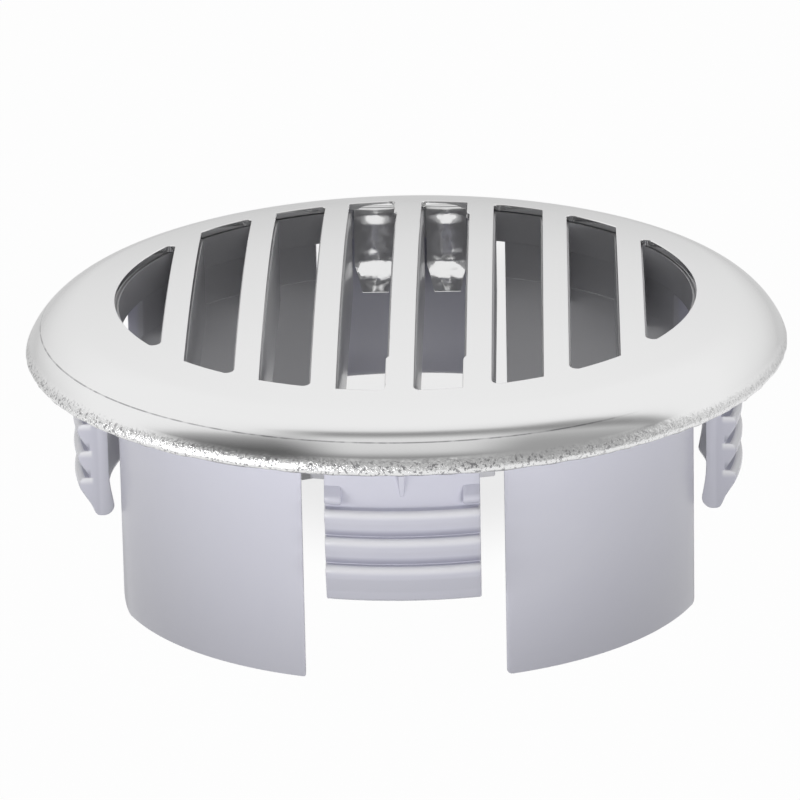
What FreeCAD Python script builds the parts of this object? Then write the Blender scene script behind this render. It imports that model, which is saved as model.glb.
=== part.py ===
import FreeCAD, Part
import math
import os

import Sketcher

# Round snap-in vent cover: a pressed metal face plate crimped over a moulded insert.
# Millimetres. The axis is Z, and Z = 0 is the level of the wall panels' lower edges.

doc = FreeCAD.newDocument("round_vent_cover")
sheet = doc.addObject("Spreadsheet::Sheet", "sizes")

# Driving dimensions
SIZES = [
    ("hole_diameter", 53.0, "hole in the board that the clips grip"),
    ("face_overlap", 4.0, "reach of the metal face past the hole, on the radius"),
    ("insert_depth", 19.3, "rim seat down to the lower edges of the wall panels"),
    ("dome_radius", 140.0, "radius of the domed face"),
    ("shoulder_radius", 5.6, "rounding of the shoulder between the dome and the rolled edge"),
    ("shoulder_lean", 68.0, "slope of the shoulder where it meets the rolled edge, degrees"),
    ("sheet_thickness", 0.5, "metal of the face plate"),
    ("roll_radius", 0.45, "rounding of the rolled edge"),
    ("hem_width", 1.65, "flat hem under the flange"),
    ("bar_count", 7, "bars across the face"),
    ("bar_pitch", 6.0, "bar to bar"),
    ("bar_width", 2.0, "metal bar"),
    ("slot_corner", 0.5, "rounding of the sharper corner at each slot end"),
    ("slot_overhang", 0.3, "slot ends past the inside of the wall, on the radius"),
    ("tab_width", 3.4, "lanced tongue"),
    ("tab_shoulder", 0.23, "metal left beside a tongue's slot end"),
    ("tab_stretch", 5.4, "slot length that the shoulder runs along"),
    ("tab_setback", 0.15, "back of a tongue inside the slot end"),
    ("tab_bend", 0.75, "outer rounding where a tongue bends down"),
    ("tab_leg", 0.8, "root of a tongue in the face, past its back"),
    ("tab_knee", 0.6, "how far a tongue kinks out below the flange"),
    ("tab_end_kink", 0.15, "how far out the tongue's end stays"),
    ("tab_knee_drop", 1.65, "flange underside down to the kink"),
    ("tab_drop", 4.75, "flange underside down to the tongue's end"),
    ("tab_taper", 2.4, "tapered end of a tongue"),
    ("tab_tip_width", 2.2, "end of a tongue"),
    ("fit_clearance", 0.1, "metal to plastic where they do not bear"),
    ("wall_clearance", 2.35, "hole to the wall panels, on the radius"),
    ("wall_thickness", 1.2, "wall panels at the flange"),
    ("wall_step", 0.15, "thinning of the panels on the inside"),
    ("wall_step_drop", 1.65, "rim seat down to that step"),
    ("wall_gap", 15.7, "opening between two wall panels"),
    ("wall_corner", 0.5, "rounding at the panels' lower corners"),
    ("wall_wide_corner", 1.7, "wider rounding at one corner of two opposite panels"),
    ("flange_rise", 1.46, "rim seat up to the underside of the flange"),
    ("flange_setback", 0.55, "edge of the flange inside the rolled edge, on the radius"),
    ("flange_lip", 1.7, "downward lip at the edge of the flange"),
    ("rib_width", 2.3, "plastic rib under a metal bar"),
    ("rib_drop", 3.1, "rim seat down to the lower edge of the ribs"),
    ("clip_width", 12.0, "spring clip"),
    ("clip_thickness", 1.45, "spring clip between its barbs"),
    ("clip_root_gap", 0.5, "hole to the foot of the barbs, on the radius"),
    ("barb_grip", 0.4, "barb past the hole, on the radius"),
    ("barb_pitch", 2.28, "barb to barb"),
    ("barb_land", 0.85, "upright face of a barb"),
    ("first_barb_drop", 4.2, "rim seat down to the first barb"),
    ("neck_setback", 0.3, "neck above the barbs, inside their foot"),
    ("clip_drop", 12.0, "rim seat down to the clip's end"),
    ("clip_end_taper", 0.4, "clip's end inside the foot of the barbs, on the radius"),
    ("clip_end_bevel", 0.6, "bevel inside the clip's end"),
    ("foot_bulge", 0.4, "inward bulge near the clip's end"),
    ("foot_height", 2.9, "length of that bulge"),
    ("boss_width", 1.3, "boss at each side of a clip's neck"),
    ("boss_height", 1.7, "boss above the first barb"),
    ("boss_reach", 0.75, "boss past the neck, on the radius"),
    ("gusset_width", 0.8, "gusset under the flange at the middle of a clip"),
    ("gusset_reach", 1.1, "gusset past the neck, on the radius"),
    ("gusset_drop", 4.8, "flange underside down to the gusset's end"),
]
for row, (alias, number, note) in enumerate(SIZES, start=1):
    sheet.set(f"A{row}", note)
    sheet.set(f"B{row}", str(number))
    sheet.setAlias(f"B{row}", alias)
doc.recompute()

# Levels and radii that follow from the driving dimensions
HOLE = "sizes.hole_diameter / 2"
FACE = f"({HOLE} + sizes.face_overlap)"
SEAT = "sizes.insert_depth"
HEM_TOP = f"({SEAT} + sizes.sheet_thickness)"
ROLL_CENTRE = f"({FACE} - sizes.roll_radius)"
ROLL_LEVEL = f"({SEAT} + sizes.roll_radius)"
ROLL_HALF = "sizes.roll_radius * sqrt(1 / 2)"
HEM_END = f"({ROLL_CENTRE} - sizes.hem_width)"
DOME_TO_SHOULDER = "(sizes.dome_radius - sizes.shoulder_radius)"
SHOULDER_TO_ROLL = "(sizes.shoulder_radius - sizes.roll_radius)"
SHOULDER_LEAN = "(sizes.shoulder_lean * 1 deg)"
SHOULDER_CENTRE = f"({ROLL_CENTRE} - {SHOULDER_TO_ROLL} * sin({SHOULDER_LEAN}))"
SHOULDER_LEVEL = f"({ROLL_LEVEL} - {SHOULDER_TO_ROLL} * cos({SHOULDER_LEAN}))"
DOME_LEAN = f"asin({SHOULDER_CENTRE} / {DOME_TO_SHOULDER})"
DOME_CENTRE = f"({SHOULDER_LEVEL} - {DOME_TO_SHOULDER} * cos({DOME_LEAN}))"
APEX = f"({DOME_CENTRE} + sizes.dome_radius)"
INNER_FACE = f"({FACE} - sizes.sheet_thickness)"
WALL_OUT = f"({HOLE} - sizes.wall_clearance)"
WALL_IN = f"({WALL_OUT} - sizes.wall_thickness)"
GRILLE = f"({WALL_IN} + sizes.slot_overhang)"
UNDERSIDE = f"({SEAT} + sizes.flange_rise)"
FLANGE_EDGE = f"({INNER_FACE} - sizes.flange_setback)"
LIP_IN = f"({FLANGE_EDGE} - sizes.flange_lip)"
CLIP_ROOT = f"({HOLE} - sizes.clip_root_gap)"
CLIP_TIP = f"({HOLE} + sizes.barb_grip)"
CLIP_IN = f"({CLIP_ROOT} - sizes.clip_thickness)"
CLIP_NECK = f"({CLIP_ROOT} - sizes.neck_setback)"
CLIP_END = f"({SEAT} - sizes.clip_drop)"
FIRST_BARB = f"({SEAT} - sizes.first_barb_drop)"
TAB_BACK = f"({GRILLE} - sizes.tab_setback)"
TAB_FRONT = f"({TAB_BACK} - sizes.sheet_thickness)"
SHEET_GAP = "(sizes.sheet_thickness + sizes.fit_clearance)"
UNDER_SHEET = "(sizes.shoulder_radius - sizes.sheet_thickness)"
UNDER_GAP = f"(sizes.shoulder_radius - {SHEET_GAP})"
INNER_EDGE = f"({SHOULDER_CENTRE} + sqrt({UNDER_SHEET}^2 - ({HEM_TOP} - {SHOULDER_LEVEL})^2))"
FLANGE_LEVEL = f"({SHOULDER_LEVEL} + sqrt({UNDER_GAP}^2 - ({FLANGE_EDGE} - {SHOULDER_CENTRE})^2))"
TAB_EDGE = "((sizes.bar_pitch + sizes.tab_width) / 2)"
REACH = f"(2 * {FACE})"

# Steps in which the shoulder is drawn, and the barbs of a clip
RIM_STEPS = 5
BARBS = 3
# Lengths by which joined solids run into each other, or cutters run past a face
FUSE_OVERLAP = 0.3
CUT_MARGIN = 1.0
# Closer than this, an edge counts as lying on a level or a circle
TOUCH = 0.01
# The slots beside the middle bar, in pitches from the middle
MIDDLE_SLOTS = (-0.5, 0.5)


def value(expression):
    """Number that an expression on the sheet stands for."""
    return float(sheet.evalExpression(expression))


def dome(radius, depth="0"):
    """Height of the dome at a radius, or of a layer that lies a depth below it."""
    return f"({DOME_CENTRE} + sqrt((sizes.dome_radius - {depth})^2 - {radius}^2))"


def shoulder(step, radius="sizes.shoulder_radius"):
    """Place on the rounded shoulder, a step of the way from the dome to the rolled edge."""
    lean = f"({DOME_LEAN} + ({SHOULDER_LEAN} - {DOME_LEAN}) * {step} / {RIM_STEPS})"
    return f"({SHOULDER_CENTRE} + {radius} * sin({lean}))", f"({SHOULDER_LEVEL} + {radius} * cos({lean}))"


def bind(item, **expressions):
    """Tie properties of an object to the sheet; a double underscore stands for a dot."""
    for name, expression in expressions.items():
        item.setExpression(name.replace("__", "."), expression)
    return item


ALONG_X = FreeCAD.Rotation(FreeCAD.Vector(1, 0, 0), 90)
ALONG_Y = FreeCAD.Rotation(FreeCAD.Vector(0, 1, 0), FreeCAD.Vector(0, 0, 1), FreeCAD.Vector(1, 0, 0), "ZXY")


def arc_between(start, end, radius, left):
    """Short arc from start to end with its centre to the left or right of the way."""
    chord = end - start
    middle = start + chord * 0.5
    side = FreeCAD.Vector(-chord.y, chord.x, 0).normalize()
    height = math.sqrt(max(radius**2 - (chord.Length / 2) ** 2, 0))
    centre = middle + side * (height if left else -height)
    first, last = (start, end) if left else (end, start)
    angles = [math.atan2(point.y - centre.y, point.x - centre.x) for point in (first, last)]
    circle = Part.Circle(centre, FreeCAD.Vector(0, 0, 1), radius)
    return Part.ArcOfCircle(circle, angles[0], angles[1])


def outline(name, corners, arcs=None, plane=ALONG_X):
    """Closed section whose corners and arc radii are tied to the sheet.

    Each corner is a (distance, height) pair of expressions. arcs maps a corner's number to the
    radius of the arc that leaves it and the side of its centre.
    """
    arcs = arcs or {}
    sketch = doc.addObject("Sketcher::SketchObject", name)
    sketch.Placement = FreeCAD.Placement(FreeCAD.Vector(), plane)
    points = [FreeCAD.Vector(value(across), value(up), 0) for across, up in corners]
    ends = []
    for number, start in enumerate(points):
        end = points[(number + 1) % len(points)]
        if number in arcs:
            radius, side = arcs[number]
            left = side == "left"
            edge = sketch.addGeometry(arc_between(start, end, value(radius), left))
            ends.append((edge, 1, 2) if left else (edge, 2, 1))
        else:
            edge = sketch.addGeometry(Part.LineSegment(start, end))
            ends.append((edge, 1, 2))
    for number, (edge, _, last) in enumerate(ends):
        following, onward, _ = ends[(number + 1) % len(ends)]
        sketch.addConstraint(Sketcher.Constraint("Coincident", edge, last, following, onward))
    for number, (edge, first, _) in enumerate(ends):
        across, up = corners[number]
        if across == "0":
            sketch.addConstraint(Sketcher.Constraint("PointOnObject", edge, first, -2))
        else:
            tie(sketch, f"across_{number}", "DistanceX", (-1, 1, edge, first), across)
        if up == "0":
            sketch.addConstraint(Sketcher.Constraint("PointOnObject", edge, first, -1))
        else:
            tie(sketch, f"up_{number}", "DistanceY", (-1, 1, edge, first), up)
        if number in arcs:
            tie(sketch, f"radius_{number}", "Radius", (edge,), arcs[number][0])
    return sketch


def tie(sketch, name, kind, places, expression):
    """Dimension of a sketch, tied to the sheet."""
    number = sketch.addConstraint(Sketcher.Constraint(kind, *places, value(expression)))
    sketch.renameConstraint(number, name)
    sketch.setExpression(f"Constraints.{name}", expression)


def turned(name, section):
    """Section turned once round the axis."""
    item = doc.addObject("Part::Revolution", name)
    item.Source = section
    item.Axis = FreeCAD.Vector(0, 0, 1)
    item.Angle = 360
    item.Solid = True
    return item


def drawn_out(name, section, direction, length):
    """Section drawn out both ways along a direction."""
    item = doc.addObject("Part::Extrusion", name)
    item.Base = section
    item.DirMode = "Custom"
    item.Dir = direction
    item.Solid = True
    item.Symmetric = True
    return bind(item, LengthFwd=length)


def block(name, length, width, height, x, y, z):
    """Box centred on x and y that stands on z."""
    item = doc.addObject("Part::Box", name)
    return bind(
        item,
        Length=length,
        Width=width,
        Height=height,
        Placement__Base__x=f"{x} - ({length}) / 2",
        Placement__Base__y=f"{y} - ({width}) / 2",
        Placement__Base__z=z,
    )


def round_bar(name, radius, height, z):
    """Cylinder on the axis that stands on z."""
    item = doc.addObject("Part::Cylinder", name)
    return bind(item, Radius=radius, Height=height, Placement__Base__z=z)


def joined(name, *pieces):
    item = doc.addObject("Part::MultiFuse", name)
    item.Shapes = list(pieces)
    item.Refine = True
    return item


def shared(name, *pieces):
    item = doc.addObject("Part::MultiCommon", name)
    item.Shapes = list(pieces)
    item.Refine = True
    return item


def cut_away(name, base, tool):
    item = doc.addObject("Part::Cut", name)
    item.Base = base
    item.Tool = tool
    item.Refine = True
    return item


def mirrored(name, source, normal):
    item = doc.addObject("Part::Mirroring", name)
    item.Source = source
    item.Normal = normal
    return item


def rounded(name, base, radius, chosen):
    """Round the edges of a base that a test picks."""
    doc.recompute()
    item = doc.addObject("Part::Fillet", name)
    item.Base = base
    size = value(radius)
    item.Edges = [
        (number, size, size) for number, edge in enumerate(base.Shape.Edges, start=1) if chosen(edge)
    ]
    return item


def crossed(name, width, bottom, height):
    """Two bars through the axis, along X and along Y."""
    along_x = block(f"{name}_x", REACH, width, height, "0", "0", bottom)
    along_y = block(f"{name}_y", width, REACH, height, "0", "0", bottom)
    return joined(name, along_x, along_y)


def bar_place(number):
    """Distance of a bar's middle from the middle of the face."""
    return f"({number} - (sizes.bar_count - 1) / 2) * sizes.bar_pitch"


def pressed_sheet():
    """Domed disc with its rounded shoulder, rolled edge and flat hem."""
    corners = [
        ("0", APEX),
        *(shoulder(step) for step in range(RIM_STEPS + 1)),
        (FACE, ROLL_LEVEL),
        (f"{ROLL_CENTRE} + {ROLL_HALF}", f"{ROLL_LEVEL} - {ROLL_HALF}"),
        (ROLL_CENTRE, SEAT),
        (HEM_END, SEAT),
        (HEM_END, HEM_TOP),
        (INNER_EDGE, HEM_TOP),
        *(shoulder(step, UNDER_SHEET) for step in reversed(range(RIM_STEPS))),
        ("0", f"{APEX} - sizes.sheet_thickness"),
    ]
    arcs = {
        0: ("sizes.dome_radius", "right"),
        len(corners) - 2: ("sizes.dome_radius - sizes.sheet_thickness", "left"),
    }
    return turned("pressed_sheet", outline("sheet_section", corners, arcs))


def slot_cutter():
    """Round field less the bars, with the shoulders that stay beside the tongues."""
    height = f"{APEX} - {SEAT} + {CUT_MARGIN}"
    field = round_bar("slot_field", GRILLE, height, SEAT)
    pieces = []
    for number in range(int(value("sizes.bar_count"))):
        place = bar_place(number)
        pieces.append(block(f"bar_{number}", "sizes.bar_width", REACH, height, place, "0", SEAT))
    for number, slot in enumerate(MIDDLE_SLOTS):
        edge = f"({slot} + 0.5) * sizes.bar_pitch - sizes.bar_width / 2"
        for side in (-1, 1):
            name = f"shoulder_{number}_{'front' if side < 0 else 'back'}"
            away = f"{side} * ({GRILLE} - sizes.tab_stretch / 2 + {FUSE_OVERLAP})"
            length = f"sizes.tab_stretch + 2 * {FUSE_OVERLAP}"
            pieces.append(block(name, "2 * sizes.tab_shoulder", length, height, edge, away, SEAT))
    slots = cut_away("slots", field, joined("bars", *pieces))

    def slot_end(edge):
        middle = edge.CenterOfMass
        at_rim = abs(math.hypot(middle.x, middle.y) - value(GRILLE)) < TOUCH
        pitch = value("sizes.bar_pitch")
        sharper = abs(middle.x) % pitch < pitch / 2
        return at_rim and sharper and isinstance(edge.Curve, Part.Line)

    return rounded("slot_cutter", slots, "sizes.slot_corner", slot_end)


def tongue():
    """One lanced tongue at the far end of the slot right of the middle bar."""
    out = f"({TAB_BACK} + sizes.tab_leg)"
    bend = f"({TAB_FRONT} + sizes.tab_bend)"
    top = dome(f"sqrt({out}^2 + {TAB_EDGE}^2)")
    bend_top = dome(f"sqrt({bend}^2 + {TAB_EDGE}^2)")
    leg_under = dome(TAB_BACK, "sizes.sheet_thickness")
    knee = f"({UNDERSIDE} - sizes.tab_knee_drop)"
    turn = f"({UNDERSIDE} - sizes.fit_clearance)"
    end = f"({UNDERSIDE} - sizes.tab_drop)"
    corners = [
        (out, top),
        (bend, bend_top),
        (TAB_FRONT, f"{bend_top} - sizes.tab_bend"),
        (TAB_FRONT, turn),
        (f"{TAB_FRONT} + sizes.tab_knee", knee),
        (f"{TAB_FRONT} + sizes.tab_end_kink", end),
        (f"{TAB_BACK} + sizes.tab_end_kink", end),
        (f"{TAB_BACK} + sizes.tab_knee", knee),
        (TAB_BACK, turn),
        (TAB_BACK, leg_under),
        (out, leg_under),
    ]
    side = outline("tongue_section", corners, {1: ("sizes.tab_bend", "left")}, ALONG_Y)
    strip = drawn_out("tongue_strip", side, FreeCAD.Vector(1, 0, 0), "sizes.tab_width")
    bind(strip, Placement__Base__x="sizes.bar_pitch / 2")
    half = "sizes.tab_width / 2"
    tip = "sizes.tab_tip_width / 2"
    middle = "sizes.bar_pitch / 2"
    face = [
        (f"{middle} - {half}", APEX),
        (f"{middle} - {half}", f"{end} + sizes.tab_taper"),
        (f"{middle} - {tip}", end),
        (f"{middle} + {tip}", end),
        (f"{middle} + {half}", f"{end} + sizes.tab_taper"),
        (f"{middle} + {half}", APEX),
    ]
    shape = drawn_out("tongue_face", outline("tongue_outline", face), FreeCAD.Vector(0, 1, 0), REACH)
    return shared("tongue", strip, shape)


def cover_plate():
    """Pressed face plate with its slots and four tongues."""
    face = cut_away("slotted_face", pressed_sheet(), slot_cutter())
    right_back = tongue()
    left_back = mirrored("tongue_left_back", right_back, FreeCAD.Vector(1, 0, 0))
    back = joined("tongues_back", right_back, left_back)
    front = mirrored("tongues_front", back, FreeCAD.Vector(0, 1, 0))
    return joined("cover_plate", face, back, front)


def flange():
    """Domed ring under the metal, with a lip at its edge that the hem holds."""
    corners = [
        (WALL_IN, UNDERSIDE),
        (LIP_IN, UNDERSIDE),
        (LIP_IN, HEM_TOP),
        (FLANGE_EDGE, HEM_TOP),
        (FLANGE_EDGE, FLANGE_LEVEL),
        *(shoulder(step, UNDER_GAP) for step in reversed(range(RIM_STEPS - 1))),
        (WALL_IN, dome(WALL_IN, SHEET_GAP)),
    ]
    arcs = {len(corners) - 2: (f"sizes.dome_radius - {SHEET_GAP}", "left")}
    return turned("flange", outline("flange_section", corners, arcs))


def wall_panels():
    """Ring wall, thinner below the ribs, cut into four panels."""
    top = f"{UNDERSIDE} + {FUSE_OVERLAP}"
    step = f"{SEAT} - sizes.wall_step_drop"
    thinner = f"{WALL_IN} + sizes.wall_step"
    corners = [
        (WALL_IN, step),
        (thinner, step),
        (thinner, "0"),
        (WALL_OUT, "0"),
        (WALL_OUT, top),
        (WALL_IN, top),
    ]
    wall = turned("wall", outline("wall_section", corners))
    gaps = crossed("wall_gaps", "sizes.wall_gap", f"-{CUT_MARGIN}", f"{UNDERSIDE} + {CUT_MARGIN}")
    panels = cut_away("panels", wall, gaps)

    def lower_corner(edge):
        return edge.BoundBox.ZMax < TOUCH and isinstance(edge.Curve, Part.Line)

    def wide_corner(edge):
        middle = edge.CenterOfMass
        return lower_corner(edge) and middle.x * middle.y > 0 and abs(middle.x) > abs(middle.y)

    wide = rounded("wide_corners", panels, "sizes.wall_wide_corner", wide_corner)
    return rounded("wall_panels", wide, "sizes.wall_corner", lower_corner)


def barb_level(number):
    return f"({FIRST_BARB} - {number} * sizes.barb_pitch)"


def spring_clips():
    """Four tongues with barbs: flat ledges above, sloping lead-in faces below."""
    top = f"({UNDERSIDE} + {FUSE_OVERLAP})"
    corners = [(CLIP_IN, top), (CLIP_NECK, top), (CLIP_NECK, barb_level(0))]
    for number in range(BARBS):
        level = barb_level(number)
        corners.append((CLIP_TIP, level))
        corners.append((CLIP_TIP, f"{level} - sizes.barb_land"))
        corners.append((CLIP_ROOT, barb_level(number + 1)))
    end_out = f"({CLIP_ROOT} - sizes.clip_end_taper)"
    foot = f"({CLIP_IN} - sizes.foot_bulge)"
    corners += [
        (end_out, CLIP_END),
        (f"{foot} + sizes.clip_end_bevel", CLIP_END),
        (foot, f"{CLIP_END} + sizes.clip_end_bevel"),
        (CLIP_IN, f"{CLIP_END} + sizes.foot_height"),
    ]
    ring = turned("clip_ring", outline("clip_section", corners))
    return shared("spring_clips", ring, crossed("clip_widths", "sizes.clip_width", "0", APEX))


def clip_bosses():
    """Short stubs above the first barb, at the two sides of each clip."""
    bottom = f"({FIRST_BARB} - {FUSE_OVERLAP})"
    top = f"({FIRST_BARB} + sizes.boss_height)"
    edge = f"({CLIP_NECK} + sizes.boss_reach)"
    inside = f"({CLIP_NECK} - {FUSE_OVERLAP})"
    corners = [
        (inside, bottom),
        (edge, bottom),
        (edge, f"{top} - sizes.boss_reach"),
        (CLIP_NECK, top),
        (inside, top),
    ]
    ring = turned("boss_ring", outline("boss_section", corners))
    outer = crossed("boss_outer", "sizes.clip_width", "0", APEX)
    between = "sizes.clip_width - 2 * sizes.boss_width"
    inner = crossed("boss_inner", between, f"-{CUT_MARGIN}", f"{APEX} + 2 * {CUT_MARGIN}")
    return shared("clip_bosses", ring, cut_away("boss_sides", outer, inner))


def clip_gussets():
    """Thin triangular gussets from the flange to the middle of each clip's neck."""
    top = f"({UNDERSIDE} + {FUSE_OVERLAP})"
    inside = f"({CLIP_NECK} - {FUSE_OVERLAP})"
    low = f"({UNDERSIDE} - sizes.gusset_drop)"
    corners = [(inside, low), (CLIP_NECK, low), (f"{CLIP_NECK} + sizes.gusset_reach", top), (inside, top)]
    ring = turned("gusset_ring", outline("gusset_section", corners))
    return shared("clip_gussets", ring, crossed("gusset_widths", "sizes.gusset_width", "0", APEX))


def face_ribs():
    """Ribs under the metal bars, from wall to wall, their tops under the dome."""
    bottom = f"({SEAT} - sizes.rib_drop)"
    ribs = []
    for number in range(int(value("sizes.bar_count"))):
        height = f"{APEX} - {bottom}"
        ribs.append(block(f"rib_{number}", "sizes.rib_width", REACH, height, bar_place(number), "0", bottom))
    field = round_bar("rib_field", f"{WALL_IN} + {FUSE_OVERLAP}", f"{APEX} - {bottom}", bottom)
    ball = doc.addObject("Part::Sphere", "rib_ball")
    bind(ball, Radius=f"sizes.dome_radius - {SHEET_GAP}", Placement__Base__z=DOME_CENTRE)
    return shared("face_ribs", joined("rib_bars", *ribs), field, ball)


def tongue_seats():
    """Recesses in the flange for the metal tongues."""
    width = "sizes.tab_width + 2 * sizes.fit_clearance"
    depth = "2 * sizes.sheet_thickness"
    seats = []
    for number, slot in enumerate(MIDDLE_SLOTS):
        for side in (-1, 1):
            name = f"tongue_seat_{number}_{'front' if side < 0 else 'back'}"
            away = f"{side} * ({TAB_BACK} + sizes.fit_clearance - sizes.sheet_thickness)"
            place = f"{slot} * sizes.bar_pitch"
            seats.append(block(name, width, depth, f"{APEX} - {SEAT}", place, away, SEAT))
    return joined("tongue_seats", *seats)


def snap_insert():
    """Moulded insert: flange, wall panels, ribs and barbed clips in one piece."""
    moulding = joined(
        "moulding", flange(), wall_panels(), face_ribs(), spring_clips(), clip_bosses(), clip_gussets()
    )
    return cut_away("snap_insert", moulding, tongue_seats())


sub_parts = [cover_plate(), snap_insert()]
for part in sub_parts:
    part.Label = part.Name
doc.recompute()

for item in doc.Objects:
    if "Invalid" in item.State or "Error" in item.State:
        raise RuntimeError(f"{item.Label} failed: {item.State}")
for part in sub_parts:
    shape = part.Shape
    if shape.isNull() or not shape.isValid() or len(shape.Solids) != 1:
        raise RuntimeError(f"{part.Label} is not one valid solid: {len(shape.Solids)}")

os.makedirs("parts", exist_ok=True)
for part in sub_parts:
    part.Shape.exportStep(f"parts/{part.Label}.step")
    box = part.Shape.BoundBox
    print(f"{part.Label}: {part.Shape.Volume:.1f} mm3, z {box.ZMin:.2f} to {box.ZMax:.2f}, r {box.XMax:.2f}")
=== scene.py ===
# %% [markdown]
# # A round snap-in vent cover
# This part is two real pieces: a polished metal face, pressed and crimped from one disc, and a white
# plastic insert that pushes into a hole and grips it with four barbed clips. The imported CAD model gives
# the frame and the sizes. Here both pieces are modelled again with smooth, finely divided surfaces,
# because polished metal and glossy plastic show every flat facet of a plain solid.

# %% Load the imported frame
import math

import bmesh
import bpy
from mathutils import Matrix, Vector, noise


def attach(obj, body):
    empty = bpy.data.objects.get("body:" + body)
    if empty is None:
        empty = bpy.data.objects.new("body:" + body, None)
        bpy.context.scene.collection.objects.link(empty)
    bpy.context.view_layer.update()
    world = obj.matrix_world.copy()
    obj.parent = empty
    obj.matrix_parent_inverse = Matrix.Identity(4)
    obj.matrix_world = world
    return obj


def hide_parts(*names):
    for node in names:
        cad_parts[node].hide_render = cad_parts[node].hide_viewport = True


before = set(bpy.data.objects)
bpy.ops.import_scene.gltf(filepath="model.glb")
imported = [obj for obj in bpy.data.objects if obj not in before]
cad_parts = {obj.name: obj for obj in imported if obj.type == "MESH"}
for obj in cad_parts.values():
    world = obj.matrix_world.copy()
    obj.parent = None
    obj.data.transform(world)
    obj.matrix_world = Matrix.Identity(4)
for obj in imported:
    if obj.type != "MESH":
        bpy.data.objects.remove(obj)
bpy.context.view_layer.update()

# %% [markdown]
# ## The camera
# The photograph was taken with a long lens from about 20 degrees above the rim, very slightly turned and
# rolled. A camera can be placed by hand until it looks right, or worked out from edges whose real
# distances are known. The second way was used: the slot edges and the round rim give the distance, the
# tilt and the focal length. The script builds the camera's three axes from those angles.

# %% Place the camera
MM = 0.001
APEX = 25.8  # top of the dome above the panels' lower edges, mm

CAMERA_TILT = math.radians(19.794)
CAMERA_YAW = math.radians(-1.358)
CAMERA_ROLL = math.radians(-1.161)
CAMERA_OFFSET = Vector((0.3962, 10.470, 554.10))  # apex seen from the camera: right, up, away, mm
CAMERA_LENS = 312.16

turn = Matrix.Rotation(-CAMERA_YAW, 3, "Z")
right = Vector((1, 0, 0))
up = Vector((0, math.sin(CAMERA_TILT), math.cos(CAMERA_TILT)))
away = Vector((0, math.cos(CAMERA_TILT), -math.sin(CAMERA_TILT)))
rolled_right = math.cos(CAMERA_ROLL) * right + math.sin(CAMERA_ROLL) * up
rolled_up = math.cos(CAMERA_ROLL) * up - math.sin(CAMERA_ROLL) * right
axes = [turn @ axis for axis in (rolled_right, rolled_up, away)]
place = Vector((0, 0, APEX)) - sum((axis * step for axis, step in zip(axes, CAMERA_OFFSET)), Vector())

camera_data = bpy.data.cameras.new("photo_camera")
camera_data.lens = CAMERA_LENS
camera_data.sensor_width = 36
camera_data.clip_start = 0.01
camera_data.clip_end = 20
camera = bpy.data.objects.new("photo_camera", camera_data)
facing = Matrix((axes[0], axes[1], -axes[2])).transposed().to_4x4()
camera.matrix_world = Matrix.Translation(place * MM) @ facing
bpy.context.scene.collection.objects.link(camera)
bpy.context.scene.camera = camera
print("Camera at", [round(v * MM, 4) for v in place])

# %% [markdown]
# ## Working in millimetres
# Small parts are easier to read in millimetres, while the frame is in metres. Every bmesh below is built
# in millimetres, and one helper scales it, closes its seams, turns its faces outwards and makes the
# object. Edges that turn by more than the sharp angle stay crisp, and the rest is shaded smooth.

# %% A helper that finishes a piece
SEAM = 0.004  # vertices closer than this are one, mm
SHARP = math.radians(25)


def finished_piece(name, bm, sharp=SHARP):
    """Object in metres, riding on the one body, from a bmesh in millimetres."""
    bmesh.ops.remove_doubles(bm, verts=bm.verts, dist=SEAM)
    bmesh.ops.recalc_face_normals(bm, faces=bm.faces)
    bmesh.ops.scale(bm, vec=(MM, MM, MM), verts=bm.verts)
    mesh = bpy.data.meshes.new(name)
    bm.to_mesh(mesh)
    bm.free()
    mesh.shade_smooth()
    mesh.set_sharp_from_angle(angle=sharp)
    piece = bpy.data.objects.new(name, mesh)
    bpy.context.scene.collection.objects.link(piece)
    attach(piece, "root")
    low = [round(min(v.co[i] for v in mesh.vertices) / MM, 2) for i in range(3)]
    high = [round(max(v.co[i] for v in mesh.vertices) / MM, 2) for i in range(3)]
    print(f"{name}: {len(mesh.polygons)} faces, from {low} to {high} mm")
    return piece


# %% [markdown]
# ## The pressed metal face: section of the rim
# The face starts as a flat disc. A press domes it and rounds its shoulder over, and a crimping tool rolls the
# edge under the plastic flange. A lathe-like spin suits it: the half section is drawn once and turned round
# the axis. The section itself is drawn with small spins too, because a vertex that is spun about a point
# draws an exact arc, and each arc starts in the direction in which the last one ended. The slotted middle is
# left open for now.

# %% Draw the section of the rim
DOME = 140.0  # radius of the domed face
GRILLE = 23.25  # radius of the slotted field
FACE = 30.5  # outside radius
SEAT = 19.3  # underside of the rolled edge
SHEET = 0.5  # metal thickness
SHOULDER = 5.6  # rounding of the shoulder between the dome and the rolled edge
SHOULDER_LEAN = math.radians(68)  # slope of the shoulder where it meets the rolled edge
ROLL = 0.45  # rounding of the rolled edge
HEM = 1.65  # flat hem under the flange
DOME_STEPS = 8
SHOULDER_STEPS = 24
ROLL_STEPS = 12

roll_centre = Vector((FACE - ROLL, 0, SEAT + ROLL))
shoulder_axis = Vector((math.sin(SHOULDER_LEAN), 0, math.cos(SHOULDER_LEAN)))
shoulder_centre = roll_centre - (SHOULDER - ROLL) * shoulder_axis
dome_lean = math.asin(shoulder_centre.x / (DOME - SHOULDER))
dome_centre = Vector((0, 0, shoulder_centre.z - (DOME - SHOULDER) * math.cos(dome_lean)))


def dome_height(radius):
    """Height of the domed face at a distance from the axis."""
    return dome_centre.z + math.sqrt(DOME**2 - radius**2)


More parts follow.
